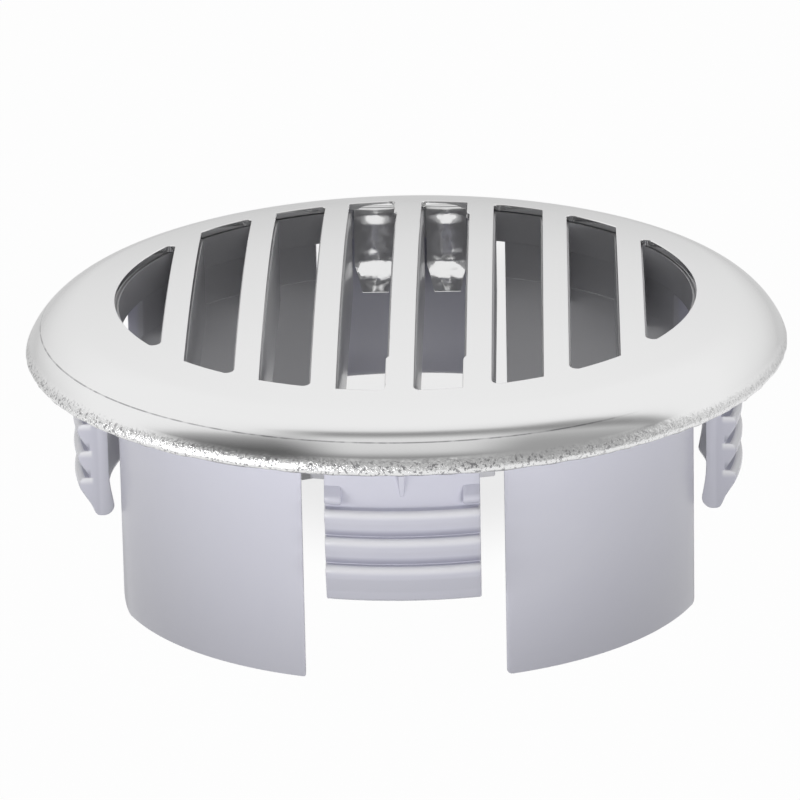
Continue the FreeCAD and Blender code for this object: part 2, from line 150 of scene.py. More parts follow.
def draw_arc(bm, vert, centre, angle, steps):
    """Arc drawn by spinning a vertex about a point of the section plane; returns its last vertex."""
    made = bmesh.ops.spin(
        bm, geom=[vert], cent=centre, axis=(0, 1, 0), angle=angle, steps=steps, use_merge=False
    )
    return [item for item in made["geom_last"] if isinstance(item, bmesh.types.BMVert)][0]


def draw_line(bm, vert, step):
    """Straight line from a vertex; returns its last vertex."""
    made = bmesh.ops.extrude_vert_indiv(bm, verts=[vert])
    bmesh.ops.translate(bm, verts=made["verts"], vec=step)
    return made["verts"][0]


rim = bmesh.new()
edge = rim.verts.new((GRILLE, 0, dome_height(GRILLE)))
edge = draw_arc(rim, edge, dome_centre, dome_lean - math.asin(GRILLE / DOME), DOME_STEPS)
edge = draw_arc(rim, edge, shoulder_centre, SHOULDER_LEAN - dome_lean, SHOULDER_STEPS)
edge = draw_arc(rim, edge, roll_centre, math.pi - SHOULDER_LEAN, ROLL_STEPS)
edge = draw_line(rim, edge, (-HEM, 0, 0))
print("Top of the dome at", round(dome_height(0), 3), "and rim section of", len(rim.edges), "edges")

# %% [markdown]
# ## Turning the rim
# A full turn with merged ends closes the ring. The steps are fine enough that the round outline and the
# reflections along the shoulder show no corners.

# %% Turn the rim round the axis
ROUND_STEPS = 256

bmesh.ops.spin(
    rim, geom=rim.verts[:] + rim.edges[:], cent=(0, 0, 0), axis=(0, 0, 1), angle=2 * math.pi,
    steps=ROUND_STEPS, use_merge=True,
)
print("Rim ring:", len(rim.faces), "faces")

# %% [markdown]
# ## The bars
# Eight slots are punched out, which leaves seven bars. They could be cut with a boolean, but that leaves
# long thin faces which show up in polished metal. Here each bar is bridged from the front of the ring to
# the back, divided across, and laid on the dome, so its faces stay even. The punch has rounded the sharper
# corner at each slot end, and the two middle slots keep a small shoulder beside their tongues.

# %% Edges of the bars
BARS = 7
PITCH = 6.0  # from bar to bar
BAR = 2.0  # width of a bar
SLOT_CORNER = 0.5  # rounding of the sharper corner at a slot end
CORNER_STEPS = 8
NOTCH = 0.23  # small shoulder beside a tongue
NOTCH_START = GRILLE - 5.4
NOTCH_STEP = 0.15


def bar_edge(x, side, rounded, notched):
    """Edge of a bar in plan, from the middle of the face to its root in the ring."""
    path = [Vector((x, 0))]
    if notched:
        path.append(Vector((x, NOTCH_START - NOTCH_STEP)))
        x += side * NOTCH
        path.append(Vector((x, NOTCH_START + NOTCH_STEP)))
    if not rounded:
        return path + [Vector((x, math.sqrt(GRILLE**2 - x**2)))]
    x += side * SLOT_CORNER
    centre = Vector((x, math.sqrt((GRILLE - SLOT_CORNER) ** 2 - x**2)))
    first = math.pi if side > 0 else 0
    last = math.atan2(centre.y, centre.x)
    for step in range(CORNER_STEPS + 1):
        angle = first + (last - first) * step / CORNER_STEPS
        path.append(centre + SLOT_CORNER * Vector((math.cos(angle), math.sin(angle))))
    return path


def along(path, share):
    """Point at a share of a path's length."""
    lengths = [(b - a).length for a, b in zip(path, path[1:])]
    left = share * sum(lengths)
    for start, end, length in zip(path, path[1:], lengths):
        if left <= length:
            return start.lerp(end, left / length)
        left -= length
    return path[-1]


bars = []
for number in range(BARS):
    middle = (number - (BARS - 1) / 2) * PITCH
    left_edge = bar_edge(middle - BAR / 2, -1, middle <= 0, middle in (0, PITCH))
    right_edge = bar_edge(middle + BAR / 2, 1, middle >= 0, False)
    bars.append((left_edge, right_edge))
print("Bars rooted between", [(round(a[-1].x, 2), round(b[-1].x, 2)) for a, b in bars])

# %% Bridge the bars across the ring
BAR_ROWS = 96
ROW_SPREAD = 0.3  # 1 spaces the rows evenly, less draws them towards the roots
ROOT_BLEND = 24  # how quickly the rows straighten away from the round root


def plan_radius(vert):
    """Distance of a vertex from the axis."""
    return math.hypot(vert.co.x, vert.co.y)


def near_root(vert, first, last):
    """Whether a vertex lies on the ring's inner edge, between two places across the face."""
    return plan_radius(vert) < GRILLE + SEAM and first - SEAM < vert.co.x < last + SEAM


def root_row():
    """Faces, edges and vertices of the ring next to the slots."""
    reach = GRILLE + (DOME * math.sin(dome_lean) - GRILLE) / DOME_STEPS + SEAM
    faces = [face for face in rim.faces if all(plan_radius(vert) < reach for vert in face.verts)]
    edges = {edge for face in faces for edge in face.edges}
    return faces + list(edges) + list({vert for edge in edges for vert in edge.verts})


for path in [path for bar in bars for path in bar]:
    bmesh.ops.bisect_plane(rim, geom=root_row(), dist=SEAM, plane_co=(path[-1].x, 0, 0), plane_no=(1, 0, 0))

for left_edge, right_edge in bars:
    first, last = left_edge[-1].x, right_edge[-1].x
    roots = [
        edge for edge in rim.edges
        if edge.is_boundary and all(near_root(vert, first, last) for vert in edge.verts)
    ]
    made = bmesh.ops.bridge_loops(rim, edges=roots)
    long_edges = {edge for face in made["faces"] for edge in face.edges if edge.calc_length() > GRILLE / 2}
    divided = bmesh.ops.subdivide_edges(rim, edges=list(long_edges), cuts=BAR_ROWS - 1, use_grid_fill=True)
    for vert in {item for item in divided["geom_inner"] if isinstance(item, bmesh.types.BMVert)}:
        column = (vert.co.x - first) / (last - first)
        root = Vector((vert.co.x, math.sqrt(GRILLE**2 - vert.co.x**2)))
        row = abs(vert.co.y) / root.y
        share = ROW_SPREAD * row + (1 - ROW_SPREAD) * math.sin(math.pi / 2 * row)
        flat = along(left_edge, share).lerp(along(right_edge, share), column)
        flat += row**ROOT_BLEND * (root - left_edge[-1].lerp(right_edge[-1], column))
        vert.co = (flat.x, math.copysign(flat.y, vert.co.y), dome_height(flat.length))
print("Face with bars:", len(rim.faces), "faces")

# %% [markdown]
# ## Thickness and punched edges
# The skin gets the sheet's thickness with solidify, measured inwards so that the outside keeps its size.
# A punched edge is never quite sharp: it turns over by a few hundredths of a millimetre, and in the
# photograph that shows as a thin bright line round each slot. A small bevel on the upper slot edges makes
# it.

# %% Give the sheet its thickness
PUNCHED_EDGE = 0.07
PUNCHED_ANGLE = math.radians(60)

bmesh.ops.recalc_face_normals(rim, faces=rim.faces)
if sum(face.normal.z * face.calc_area() for face in rim.faces) < 0:
    bmesh.ops.reverse_faces(rim, faces=rim.faces)
bmesh.ops.solidify(rim, geom=rim.faces[:], thickness=SHEET)
rim.normal_update()
slot_edges = [
    edge for edge in rim.edges
    if edge.is_manifold
    and edge.calc_face_angle() > PUNCHED_ANGLE
    and all(
        plan_radius(vert) < GRILLE + SEAM and vert.co.z > dome_height(plan_radius(vert)) - SHEET / 2
        for vert in edge.verts
    )
]
bmesh.ops.bevel(
    rim, geom=slot_edges, offset=PUNCHED_EDGE, offset_type="OFFSET", segments=2, profile=0.5, affect="EDGES",
    material=-1,
)
print("Punched edges rounded:", len(slot_edges))

# %% [markdown]
# ## The crimped edge
# Where the metal is squeezed under the flange it has nowhere to go, so its lower edge wrinkles. Each wrinkle
# is only some hundredths of a millimetre deep. The vertices of the roll are pushed inwards by a fixed noise,
# more and more towards the underside, which keeps the outside size. The finest creases come from the
# finish below.

# %% Wrinkle the crimped edge
WRINKLE_DEPTH = 0.07
WRINKLE_TOP = SEAT + 1.1
WRINKLE_FREQUENCY = 1.1  # waves per millimetre
WRINKLE_FINER = 2.3  # finer waves among them, at half the depth

for vert in rim.verts:
    fade = min(max((WRINKLE_TOP - vert.co.z) / (WRINKLE_TOP - SEAT), 0), 1)
    if fade and plan_radius(vert) > FACE - ROLL - HEM:
        at = vert.co * WRINKLE_FREQUENCY
        wave = noise.noise(at) + 0.5 * noise.noise(at * WRINKLE_FINER)
        push = WRINKLE_DEPTH * fade * min(max(0.5 + wave, 0), 1)
        vert.co.xy *= 1 - push / plan_radius(vert)
        vert.co.z += push
face_plate = finished_piece("cover_face", rim, sharp=math.radians(15))
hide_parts("cover_plate")

# %% [markdown]
# ## The lanced tongues
# At both ends of the two middle slots the punch leaves a tongue of metal, which is bent down inside the
# plastic wall and kinked outwards, low down, to lock the insert in place. The bending tool has left a shallow
# dent below the first bend. A tongue could be a plane with a thickness, but it is a bent strip of one
# section: so its side view is drawn as one face, its bends are rounded with a vertex bevel, and the strip is
# extruded to its width.

# %% Draw one tongue
TAB_WIDTH = 3.4
TAB_FRONT = 22.6  # distance of its inner side from the axis
TAB_BACK = TAB_FRONT + SHEET
TAB_LEG = 23.9  # where it joins the face
TAB_LEAN = 0.2  # how far its top leans out
TAB_DENT = 0.35  # depth of the dent below the first bend, and its levels
TAB_DENT_TOP = 22.9
TAB_DENT_END = 22.2
TAB_TURN = 18.7  # level where it turns out to the knee
TAB_KNEE = 0.6  # reach of the knee, and its level
TAB_KNEE_LEVEL = 17.4
TAB_END_KINK = 0.15
TAB_END = 16.01


def section_face(bm, x, corners):
    """Flat face across X from (distance, height, rounding) corners."""
    verts = [bm.verts.new((x, distance, height)) for distance, height, _ in corners]
    bm.faces.new(verts)
    for vert, (_, _, rounding) in zip(verts, corners):
        if rounding:
            bmesh.ops.bevel(
                bm, geom=[vert], offset=rounding, offset_type="OFFSET", segments=6, profile=0.5,
                affect="VERTICES", material=-1,
            )
    return bm.faces[:]


def draw_out(bm, faces, width):
    """Draw a section out along X."""
    made = bmesh.ops.extrude_face_region(bm, geom=faces)
    bmesh.ops.translate(
        bm, verts=[item for item in made["geom"] if isinstance(item, bmesh.types.BMVert)], vec=(width, 0, 0)
    )


corner_reach = math.hypot(TAB_LEG, PITCH / 2 + TAB_WIDTH / 2)
tab_top = dome_height(corner_reach)
tab_under = dome_height(TAB_BACK) - SHEET
tongues = bmesh.new()
strip = section_face(
    tongues,
    (PITCH - TAB_WIDTH) / 2,
    [
        (TAB_LEG, tab_top, 0),
        (TAB_FRONT + TAB_LEAN, tab_top + 0.1, 0.5),
        (TAB_FRONT + TAB_LEAN / 2, TAB_DENT_TOP, 0.25),
        (TAB_FRONT + TAB_DENT, TAB_DENT_END, 0.3),
        (TAB_FRONT, TAB_TURN, 0.3),
        (TAB_FRONT + TAB_KNEE, TAB_KNEE_LEVEL, 0.5),
        (TAB_FRONT + TAB_END_KINK, TAB_END, 0.1),
        (TAB_BACK + TAB_END_KINK, TAB_END, 0.1),
        (TAB_BACK + TAB_KNEE, TAB_KNEE_LEVEL, 0.5),
        (TAB_BACK, TAB_TURN, 0.3),
        (TAB_BACK + TAB_DENT, TAB_DENT_END, 0.3),
        (TAB_BACK + TAB_LEAN / 2, TAB_DENT_TOP, 0.25),
        (TAB_BACK + TAB_LEAN, tab_under, 0),
        (TAB_LEG, tab_under, 0),
    ],
)
draw_out(tongues, strip, TAB_WIDTH)
bmesh.ops.recalc_face_normals(tongues, faces=tongues.faces)
print("Tongue from", round(tab_top, 2), "down to", TAB_END, "mm with", len(tongues.faces), "faces")

# %% [markdown]
# ## Narrowing and copying the tongue
# The free end of a tongue is cut narrower, so that it finds its way past the ribs. One cut across the strip
# gives the taper a place to start. The tongue is softened once and then mirrored to the other three places;
# the helper that finishes a piece turns the mirrored faces outwards again.

# %% Narrow the tongue and copy it to the four places
TAB_TIP = 2.2  # width of the free end, and length of the taper
TAB_TAPER = 2.4
TAB_EDGE = 0.06


def soften(bm, size, angle=60):
    """Small bevel on every edge that turns by more than an angle."""
    bm.normal_update()
    sharp = [edge for edge in bm.edges if edge.is_manifold and edge.calc_face_angle() > math.radians(angle)]
    bmesh.ops.bevel(
        bm, geom=sharp, offset=size, offset_type="OFFSET", segments=2, profile=0.5, affect="EDGES",
        material=-1,
    )


def slice_across(bm, axis, places):
    """Cut all faces with planes across an axis."""
    normal = Vector((0, 0, 0))
    normal[axis] = 1
    for place in places:
        everything = bm.verts[:] + bm.edges[:] + bm.faces[:]
        bmesh.ops.bisect_plane(bm, geom=everything, dist=SEAM, plane_co=normal * place, plane_no=normal)


slice_across(tongues, 2, [TAB_END + TAB_TAPER])
for vert in tongues.verts:
    if vert.co.z < TAB_END + TAB_TAPER:
        narrowing = (TAB_END + TAB_TAPER - vert.co.z) / TAB_TAPER * (1 - TAB_TIP / TAB_WIDTH)
        vert.co.x += (PITCH / 2 - vert.co.x) * narrowing
soften(tongues, TAB_EDGE)
for flip in ((-1, 1, 1), (1, -1, 1)):
    copy = bmesh.ops.duplicate(tongues, geom=tongues.verts[:] + tongues.edges[:] + tongues.faces[:])
    copied = [item for item in copy["geom"] if isinstance(item, bmesh.types.BMVert)]
    bmesh.ops.scale(tongues, vec=flip, verts=copied)
cover_tongues = finished_piece("cover_tongues", tongues)

# %% [markdown]
# ## The insert: flange
# The insert is moulded in one shot. Its flange is a ring that lies under the metal, with a lip that the
# crimped hem holds. It could be built up from tubes, but one closed section turned round the axis has no
# seams. Behind each tongue its inner edge is set back a little.

# %% Turn the flange
WALL_IN = 22.95  # inside and outside of the wall panels below
WALL_OUT = 24.15
UNDERSIDE = 20.76
FLANGE_EDGE = 29.45
FLANGE_STEPS = 160
LIP = 1.7  # width of the lip that the hem holds, and the level where it meets the shoulder
LIP_TOP = UNDERSIDE - 0.2
HEM_TOP = SEAT + SHEET
SHEET_GAP = SHEET + 0.1
TONGUE_SEAT = 23.2  # recess in the flange behind a tongue


def under_shoulder(share):
    """Place below the rounded shoulder of the metal, at a share of the way from the dome to the roll."""
    lean = dome_lean + (SHOULDER_LEAN - dome_lean) * share
    reach = SHOULDER - SHEET_GAP
    return shoulder_centre.x + reach * math.sin(lean), shoulder_centre.z + reach * math.cos(lean)


ring = bmesh.new()
outline = [
    (WALL_IN, UNDERSIDE), (FLANGE_EDGE - LIP, UNDERSIDE), (FLANGE_EDGE - LIP, HEM_TOP),
    (FLANGE_EDGE, HEM_TOP), (FLANGE_EDGE, LIP_TOP), under_shoulder(0.7), under_shoulder(0.35),
    under_shoulder(0), (WALL_IN, dome_height(WALL_IN) - SHEET_GAP),
]
loop = [ring.verts.new((radius, 0, height)) for radius, height in outline]
for start, end in zip(loop, loop[1:] + loop[:1]):
    ring.edges.new((start, end))
bmesh.ops.spin(
    ring, geom=ring.verts[:] + ring.edges[:], cent=(0, 0, 0), axis=(0, 0, 1), angle=2 * math.pi,
    steps=FLANGE_STEPS, use_merge=True,
)
for vert in ring.verts:
    beside = PITCH / 2 - TAB_WIDTH / 2 < abs(vert.co.x) < PITCH / 2 + TAB_WIDTH / 2
    if beside and plan_radius(vert) < WALL_IN + SEAM:
        vert.co.y = math.copysign(TONGUE_SEAT, vert.co.y)
insert_flange = finished_piece("insert_flange", ring)
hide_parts("snap_insert")

# %% [markdown]
# ## The insert: wall panels
# Four curved panels stand below the flange with straight gaps between them. Bending a flat plate is the
# easiest way to round the lower corners: the plate is drawn flat, its corners are rounded with a vertex
# bevel, it gets its thickness and soft edges, and then every point is wrapped round the axis. Inside, the
# wall is a little thinner below a fine step.

# %% Bend four wall panels
GAP = 15.7  # width of the straight gap between two panels
STEP_LEVEL = 17.65  # the fine step inside: its level, height and depth
STEP_SLOPE = 0.12
WALL_STEP = 0.15
PANEL_SLICES = 56
SOFT_EDGE = 0.12
PANEL_CORNERS = (((1.7, 0.2), (0, 2)), ((0.5, 0.5), (1, 3)))  # roundings, and quarter turns with them


def wall_panel(first_corner, last_corner):
    """One panel from the gap beside +X round to the gap beside +Y, with its two lower corners rounded."""
    bm = bmesh.new()
    length = WALL_OUT * (math.pi / 2 - 2 * math.asin(GAP / 2 / WALL_OUT))
    corners = [(0, 0), (length, 0), (length, UNDERSIDE), (0, UNDERSIDE)]
    verts = [bm.verts.new((x, 0, z)) for x, z in corners]
    bm.faces.new(verts)
    for vert, rounding in zip(verts, (first_corner, last_corner)):
        bmesh.ops.bevel(
            bm, geom=[vert], offset=rounding, offset_type="OFFSET", segments=8, profile=0.5,
            affect="VERTICES", material=-1,
        )
    slice_across(bm, 0, [length * number / PANEL_SLICES for number in range(1, PANEL_SLICES)])
    slice_across(bm, 2, [STEP_LEVEL - STEP_SLOPE, STEP_LEVEL])
    made = bmesh.ops.extrude_face_region(bm, geom=bm.faces[:])
    inner = [item for item in made["geom"] if isinstance(item, bmesh.types.BMVert)]
    bmesh.ops.translate(bm, verts=inner, vec=(0, WALL_OUT - WALL_IN, 0))
    bmesh.ops.recalc_face_normals(bm, faces=bm.faces)
    soften(bm, SOFT_EDGE)
    for vert in bm.verts:
        below = min(max((STEP_LEVEL - vert.co.z) / STEP_SLOPE, 0), 1)
        depth = vert.co.y / (WALL_OUT - WALL_IN)
        radius = WALL_OUT - vert.co.y + below * WALL_STEP * depth
        start = math.asin(GAP / 2 / radius)
        angle = start + vert.co.x / length * (math.pi / 2 - 2 * start)
        vert.co = (radius * math.cos(angle), radius * math.sin(angle), vert.co.z)
    return bm


def gather(target, source, quarter_turns):
    """Add a turned copy of one bmesh to another."""
    mesh = bpy.data.meshes.new("gathered")
    source.to_mesh(mesh)
    mesh.transform(Matrix.Rotation(math.pi / 2 * quarter_turns, 4, "Z"))
    target.from_mesh(mesh)
    bpy.data.meshes.remove(mesh)


panels = bmesh.new()
for corners, turns in PANEL_CORNERS:
    panel = wall_panel(*corners)
    for quarter_turns in turns:
        gather(panels, panel, quarter_turns)
    panel.free()
insert_panels = finished_piece("insert_panels", panels)

# %% [markdown]
# ## The insert: ribs under the bars
# Each metal bar lies on a plastic rib that runs from wall to wall. A rib could be cut from a slab by the
# dome, but a stretched cube, cut into slices and with its top dropped onto the inside of the dome, keeps
# even faces.

# %% Lay seven ribs under the bars
RIB = 2.3
RIB_BOTTOM = 16.2
RIB_REACH = 23.1
RIB_SLICES = 24

ribs = bmesh.new()
for number in range(BARS):
    middle = (number - (BARS - 1) / 2) * PITCH
    rib = bmesh.new()
    bmesh.ops.create_cube(rib, size=1)
    bmesh.ops.scale(rib, vec=(RIB, 2, 1), verts=rib.verts)
    slice_across(rib, 1, [2 * step / RIB_SLICES - 1 for step in range(1, RIB_SLICES)])
    for vert in rib.verts:
        x = middle + vert.co.x
        y = vert.co.y * math.sqrt(RIB_REACH**2 - x**2)
        z = dome_height(math.hypot(x, y)) - SHEET_GAP if vert.co.z > 0 else RIB_BOTTOM
        vert.co = (x, y, z)
    soften(rib, SOFT_EDGE)
    gather(ribs, rib, 0)
    rib.free()
insert_ribs = finished_piece("insert_ribs", ribs)

# %% [markdown]
# ## The insert: barbed clips
# A clip is a springy tongue with three barbs. Each barb has a flat ledge above, which catches behind the
# hole's edge, and a sloping face below, which lets the clip slide in. The side view is drawn as one face
# with rounded corners and extruded to the clip's width. Its points are then moved onto circles about the
# axis, which keeps the clip's two sides flat and parallel. The lips of the barbs are well rounded, because
# they catch the light. Two short bosses stand above the first barb, and a thin tapering gusset joins the
# middle of the clip to the flange.

# %% Draw the side views of a clip
CLIP_IN = 24.55  # distances of the clip's surfaces from the axis
CLIP_NECK = 25.7
CLIP_ROOT = 26.0
CLIP_TIP = 26.9
CLIP_END = 7.3
FIRST_BARB = 15.1
BARB_PITCH = 2.28
BARB_LAND = 0.85
BARBS = 3
TOE_OUT, TOE_IN = 25.6, 24.75  # the clip's foot, and the toe that it turns inwards
TOE, TOE_LEVEL, TOE_TOP = 24.15, 7.9, 10.2
BOSS_IN, BOSS_OUT = 25.4, 26.45
BOSS_BOTTOM, BOSS_SLOPE, BOSS_TOP = 15.45, 16.05, 16.8
GUSSET_OUT, GUSSET_BOTTOM = 26.8, 15.96

clip_corners = [(CLIP_IN, UNDERSIDE, 0), (CLIP_NECK, UNDERSIDE, 0), (CLIP_NECK, FIRST_BARB, 0.15)]
for number in range(BARBS):
    level = FIRST_BARB - number * BARB_PITCH
    clip_corners += [
        (CLIP_TIP, level, 0.5),
        (CLIP_TIP, level - BARB_LAND, 0.3),
        (CLIP_ROOT, level - BARB_PITCH, 0.1),
    ]
clip_corners += [
    (TOE_OUT, CLIP_END, 0.3), (TOE_IN, CLIP_END, 0.3), (TOE, TOE_LEVEL, 0.4), (CLIP_IN, TOE_TOP, 0.8),
]
boss_corners = [
    (BOSS_IN, BOSS_BOTTOM, 0), (BOSS_OUT, BOSS_BOTTOM, 0.2), (BOSS_OUT, BOSS_SLOPE, 0.2),
    (CLIP_NECK, BOSS_TOP, 0.1), (BOSS_IN, BOSS_TOP, 0),
]
gusset_corners = [
    (BOSS_IN, GUSSET_BOTTOM, 0), (CLIP_NECK, GUSSET_BOTTOM, 0), (GUSSET_OUT, UNDERSIDE, 0),
    (BOSS_IN, UNDERSIDE, 0),
]
print("Clip section with", len(clip_corners), "corners")

# %% [markdown]
# ## Drawing out the clips
# Each side view is drawn out to its width and softened, and all four places get a turned copy. Seen through
# the slots, the back clip of the real piece ends a little higher than the front one, so the end of that clip
# is drawn up by moving its lowest points.

# %% Model the four clips
CLIP = 12.0  # width
CLIP_SLICES = 20
BOSS, BOSS_SLICES = 1.3, 3
GUSSET, GUSSET_SLICES, GUSSET_EDGE = 0.8, 2, 0.08
GUSSET_TIP = 0.4  # share of its width that the gusset keeps at its foot
BACK_LIFT = 0.85  # how far the back clip's end is drawn up, from which level, and how deep inwards
LIFT_FROM = 9.0
LIFT_DEPTH = 2.0


def round_the_axis(bm):
    """Move points from flat distances onto circles about the axis."""
    for vert in bm.verts:
        vert.co.y = math.sqrt(vert.co.y**2 - vert.co.x**2)


def clip_piece(x, width, corners, slices, edge=SOFT_EDGE):
    """Section drawn out from x to x + width, softened and bent round the axis."""
    bm = bmesh.new()
    draw_out(bm, section_face(bm, x, corners), width)
    bmesh.ops.recalc_face_normals(bm, faces=bm.faces)
    soften(bm, edge, angle=75)
    slice_across(bm, 0, [x + width * step / slices for step in range(1, slices)])
    round_the_axis(bm)
    return bm


gusset = clip_piece(-GUSSET / 2, GUSSET, gusset_corners, GUSSET_SLICES, edge=GUSSET_EDGE)
for vert in gusset.verts:
    up_gusset = (vert.co.z - GUSSET_BOTTOM) / (UNDERSIDE - GUSSET_BOTTOM)
    vert.co.x *= GUSSET_TIP + (1 - GUSSET_TIP) * up_gusset

clips = bmesh.new()
for piece in (
    clip_piece(-CLIP / 2, CLIP, clip_corners, CLIP_SLICES),
    clip_piece(-CLIP / 2, BOSS, boss_corners, BOSS_SLICES),
    clip_piece(CLIP / 2 - BOSS, BOSS, boss_corners, BOSS_SLICES),
    gusset,
):
    for quarter_turns in range(4):
        gather(clips, piece, quarter_turns)
    piece.free()
for vert in clips.verts:
    if vert.co.y > CLIP_IN - LIFT_DEPTH and vert.co.z < LIFT_FROM:
        vert.co.z += BACK_LIFT * (LIFT_FROM - vert.co.z) / (LIFT_FROM - CLIP_END)
insert_clips = finished_piece("insert_clips", clips)

# %% [markdown]
# ## A shared effect: handling marks
# Both materials have been handled, and neither was even when it was new. One soft noise, stretched between
# two values, gives the smudges on the metal, the changing gloss of the plastic and its drifting colour. It
# could be copied into each material, but as a node group it is built once and placed with other values.

# %% Build the handling marks
marks = bpy.data.node_groups.new("handling_marks", "ShaderNodeTree")
marks.interface.new_socket("Vector", in_out="INPUT", socket_type="NodeSocketVector")
marks.interface.new_socket("Scale", in_out="INPUT", socket_type="NodeSocketFloat")
marks.interface.new_socket("Low", in_out="INPUT", socket_type="NodeSocketFloat")
marks.interface.new_socket("High", in_out="INPUT", socket_type="NodeSocketFloat")
marks.interface.new_socket("Value", in_out="OUTPUT", socket_type="NodeSocketFloat")
marks_in = marks.nodes.new("NodeGroupInput")
marks_out = marks.nodes.new("NodeGroupOutput")
marks_noise = marks.nodes.new("ShaderNodeTexNoise")
marks_noise.inputs["Detail"].default_value = 6
marks_noise.inputs["Roughness"].default_value = 0.65
marks_noise.inputs["Distortion"].default_value = 0.8
marks_range = marks.nodes.new("ShaderNodeMapRange")
marks_range.inputs["From Min"].default_value = 0.35
marks_range.inputs["From Max"].default_value = 0.7
marks.links.new(marks_in.outputs["Vector"], marks_noise.inputs["Vector"])
marks.links.new(marks_in.outputs["Scale"], marks_noise.inputs["Scale"])
marks.links.new(marks_noise.outputs["Fac"], marks_range.inputs["Value"])
marks.links.new(marks_in.outputs["Low"], marks_range.inputs["To Min"])
marks.links.new(marks_in.outputs["High"], marks_range.inputs["To Max"])
marks.links.new(marks_range.outputs["Result"], marks_out.inputs["Value"])
print("Shared effect with", len(marks.nodes), "nodes")

# %% [markdown]
# ## The metal finish: gloss
# The face is bright polished metal. Handling has left faint smudges that only change how sharply it reflects,
# and the crimped edge is a little duller. Dirt and wear could be painted on a map, but here they are placed
# by distance from the axis and by height, so they stay with the part from every side. The helpers below make
# and join nodes, and the later finishes use them too.

# %% Polished metal: gloss


def new_material(name):
    """Empty node material with a Principled shader and its output."""
    material = bpy.data.materials.new(name)
    material.use_nodes = True
    tree = material.node_tree
    return material, tree, tree.nodes["Principled BSDF"]


def node(tree, kind, values=None, **settings):
    """Node with settings and unlinked input values."""
    made = tree.nodes.new(kind)
    for name, setting in settings.items():
        setattr(made, name, setting)
    for socket, number in (values or {}).items():
        made.inputs[socket].default_value = number
    return made


def math_node(tree, operation, *values):
    """Math node whose inputs are sockets or numbers."""
    made = node(tree, "ShaderNodeMath", operation=operation)
    for socket, value in zip(made.inputs, values):
        if isinstance(value, (int, float)):
            socket.default_value = value
        else:
            tree.links.new(value, socket)
    return made.outputs[0]


def ramp_between(tree, value, start, end, low=0.0, high=1.0):
    """Value that goes smoothly from low at start to high at end."""
    made = node(
        tree, "ShaderNodeMapRange",
        {"From Min": start, "From Max": end, "To Min": low, "To Max": high}, interpolation_type="SMOOTHSTEP",
    )
    tree.links.new(value, made.inputs["Value"])
    return made.outputs["Result"]


def split_place(tree, place):
    """The three coordinates of a place."""
    made = node(tree, "ShaderNodeSeparateXYZ")
    tree.links.new(place, made.inputs["Vector"])
    return made.outputs["X"], made.outputs["Y"], made.outputs["Z"]


def length_of(tree, vector):
    """Length of a vector."""
    made = node(tree, "ShaderNodeVectorMath", operation="LENGTH")
    tree.links.new(vector, made.inputs[0])
    return made.outputs["Value"]


def from_axis(tree, place):
    """Distance from the axis, and height."""
    x, y, z = split_place(tree, place)
    flat = node(tree, "ShaderNodeCombineXYZ")
    tree.links.new(x, flat.inputs["X"])
    tree.links.new(y, flat.inputs["Y"])
    return length_of(tree, flat.outputs["Vector"]), z


def handled(tree, place, scale, low, high):
    """The shared handling marks with their own values."""
    made = node(tree, "ShaderNodeGroup", {"Scale": scale, "Low": low, "High": high}, node_tree=marks)
    tree.links.new(place, made.inputs["Vector"])
    return made.outputs["Value"]


CRIMP_START, CRIMP_FULL = SEAT + 1.5, SEAT + 0.8  # levels of the crimped edge
RIM_START, RIM_FULL = FACE - 2.2, FACE - 1.2
CRIMP_DULLER = 0.06

metal, tree, shader = new_material("polished_metal")
shader.inputs["Metallic"].default_value = 1
place = node(tree, "ShaderNodeTexCoord").outputs["Object"]
radius, height = from_axis(tree, place)
crimp = ramp_between(tree, height, CRIMP_START * MM, CRIMP_FULL * MM)
outside = ramp_between(tree, radius, RIM_START * MM, RIM_FULL * MM)
crimped = math_node(tree, "MULTIPLY", crimp, outside)
smudges = handled(tree, place, 60, 0.09, 0.17)
rough = math_node(tree, "ADD", smudges, math_node(tree, "MULTIPLY", crimped, CRIMP_DULLER))
tree.links.new(rough, shader.inputs["Roughness"])
print("Metal gloss with", len(tree.nodes), "nodes")

# %% [markdown]
# ## The metal finish: pressed line, chips and painted shade under the hem
# A fine line is pressed into the shoulder, and a thin dark line is drawn along it that fades out towards the
# right. The crimping tool has chipped the edge, most on the left and in the middle, and shade is painted on
# the underside of the rolled edge and hem. These marks are far finer than the mesh, so one mask mixes the
# bright metal with a dark colour.

# %% Polished metal: colour
LINE = 29.27  # radius of the pressed line
LINE_START, LINE_FULL = 0.06, 0.015  # distances from the line where its dark colour starts and is full
LINE_FADED, LINE_DARKEST = 19, 13  # places across the face where the dark line has faded and where it is darkest
FEW_CHIPS, MANY_CHIPS = 22, 6  # places across the face with few and many chips
# levels where shade is painted under the hem
HEM_SHADE_START, HEM_SHADE_FULL = SEAT + 0.3, SEAT + 0.1
BRIGHT = (0.83, 0.83, 0.83)
# dark colour of the pressed line and the chips, and of the shade painted under the hem
DARK_MARKS_AND_SHADE = (0.25, 0.25, 0.26)


def speckled(tree, place, scale, detail, roughness=0.5):
    """Noise over the surface."""
    made = node(tree, "ShaderNodeTexNoise", {"Scale": scale, "Detail": detail, "Roughness": roughness})
    tree.links.new(place, made.inputs["Vector"])
    return made.outputs["Fac"]


def tinted(tree, mask, first, second):
    """Colour that a mask takes from the first to the second, each a colour or a socket."""
    made = node(tree, "ShaderNodeMix", data_type="RGBA")
    tree.links.new(mask, made.inputs["Factor"])
    for name, colour in (("A", first), ("B", second)):
        if isinstance(colour, tuple):
            made.inputs[name].default_value = (*colour, 1)
        else:
            tree.links.new(colour, made.inputs[name])
    return made.outputs["Result"]


